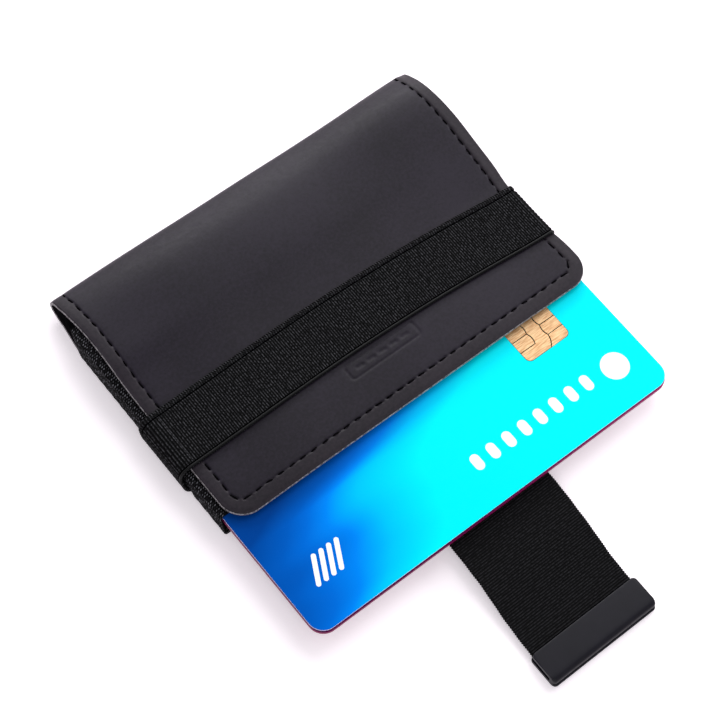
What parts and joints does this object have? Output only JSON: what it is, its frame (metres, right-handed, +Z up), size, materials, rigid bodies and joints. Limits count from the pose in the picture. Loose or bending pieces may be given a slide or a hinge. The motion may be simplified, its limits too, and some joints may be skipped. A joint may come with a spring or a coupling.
{
  "type": "minimalist wallet",
  "caption": "Slim folded cover with an elastic card sleeve, an outer elastic band and a ribbon pull tab that draws the cards out of the mouth.",
  "frame": {"origin": "middle of the cover's back panel on its underside, where the wallet rests", "axes": "+X along the spine, +Y from the mouth to the spine, +Z up out of the front panel"},
  "size_m": [0.0909, 0.1163, 0.0083],
  "materials": {
    "cover_leather": "smooth matt leather",
    "lining_cloth": "plain lining cloth",
    "thread": "waxed sewing thread",
    "sleeve_elastic": "coarse woven elastic",
    "band_elastic": "ribbed woven elastic",
    "strap_ribbon": "grosgrain ribbon",
    "tab_metal": "matt black coating",
    "card_blue": "glossy printed laminate",
    "card_pink": "glossy printed laminate",
    "card_dark": "glossy printed laminate",
    "chip_gold": "gold plated contacts"
  },
  "bodies": {
    "root": {"cover_leather": "cover_leather", "cover_lining": "lining_cloth", "edge_stitching_back": "thread", "edge_stitching_front": "thread", "sleeve_front_panel": "sleeve_elastic", "sleeve_back_panel": "sleeve_elastic", "sleeve_gusset_left": "sleeve_elastic", "sleeve_gusset_right": "sleeve_elastic", "sleeve_seam_front": "thread", "sleeve_seam_back": "thread", "elastic_band": "band_elastic", "band_join_stitching": "thread", "strap_upper_run": "strap_ribbon", "strap_anchor_stitching": "thread"},
    "card_stack": {"strap_loop": "strap_ribbon", "card_bottom": "card_dark", "card_bottom_chip": "chip_gold"},
    "middle_card": {"card_middle": "card_pink", "card_middle_chip": "chip_gold"},
    "top_card": {"card_top": "card_blue", "card_top_chip": "chip_gold"},
    "pull_strap": {"strap_tail": "strap_ribbon", "strap_lower_run": "strap_ribbon", "pull_tab": "tab_metal"}
  },
  "joints": [
    {"name": "card_slide", "type": "slide", "parent": "root", "child": "card_stack", "axis": [0, -1, 0], "range_m": [-0.0195, 0.015], "deforming": ["strap_upper_run"]},
    {"name": "strap_slide", "type": "slide", "parent": "card_stack", "child": "pull_strap", "axis": [0, -1, 0], "range_m": [-0.0195, 0.015], "deforming": ["strap_lower_run"]},
    {"name": "middle_card_draw", "type": "slide", "parent": "card_stack", "child": "middle_card", "axis": [0, -1, 0], "range_m": [-0.0025, 0.03]},
    {"name": "top_card_draw", "type": "slide", "parent": "card_stack", "child": "top_card", "axis": [0, -1, 0], "range_m": [-0.0025, 0.03]}
  ],
  "couplings": [
    {"joint": "strap_slide", "follows": "card_slide", "ratio": 1}
  ]
}
